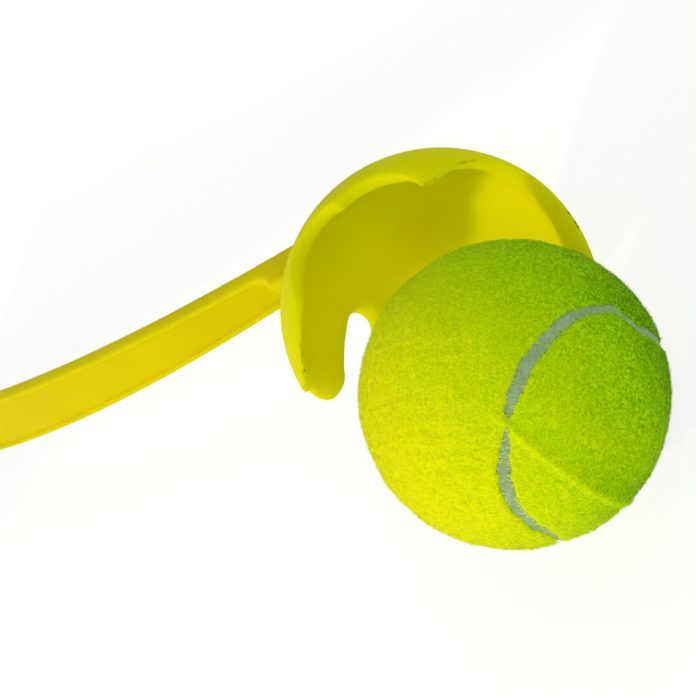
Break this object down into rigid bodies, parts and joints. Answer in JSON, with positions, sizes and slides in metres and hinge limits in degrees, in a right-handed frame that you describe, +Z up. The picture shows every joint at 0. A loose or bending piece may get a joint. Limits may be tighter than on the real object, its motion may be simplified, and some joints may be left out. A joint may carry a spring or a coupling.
{
  "type": "dog ball launcher stick with ball",
  "caption": "Dog ball launcher stick with a petalled half-open cup on a bowed shaft, soft grip with hang hole, and a felt tennis ball that releases from the cup",
  "frame": {"origin": "centre of the ball seat in the cup", "axes": "+X runs from the grip to the tip of the cup, -Y is the front that the cup opens towards, +Z is up as the launcher lies on its side; the launcher is symmetric about Z = 0"},
  "size_m": [0.5465, 0.1506, 0.072],
  "materials": {
    "yellow_plastic": "smooth moulded, slightly translucent",
    "grip_rubber": "fine matt grain",
    "cap_plastic": "satin",
    "core_rubber": "matt",
    "ball_felt": "napped felt",
    "seam_rubber": "matt, finely cracked"
  },
  "bodies": {
    "launcher": {"throwing_arm": "yellow_plastic", "grip_sleeve": "grip_rubber", "end_cap": "cap_plastic"},
    "ball": {"core_half_a": "core_rubber", "core_half_b": "core_rubber", "core_bond": "core_rubber", "felt_panel_a": "ball_felt", "felt_panel_b": "ball_felt", "seam_cement": "seam_rubber"}
  },
  "joints": [
    {"name": "ball_release", "type": "slide", "parent": "launcher", "child": "ball", "axis": [0.6964, -0.7136, -0.0755], "range_m": [-0.0397, 0]}
  ]
}
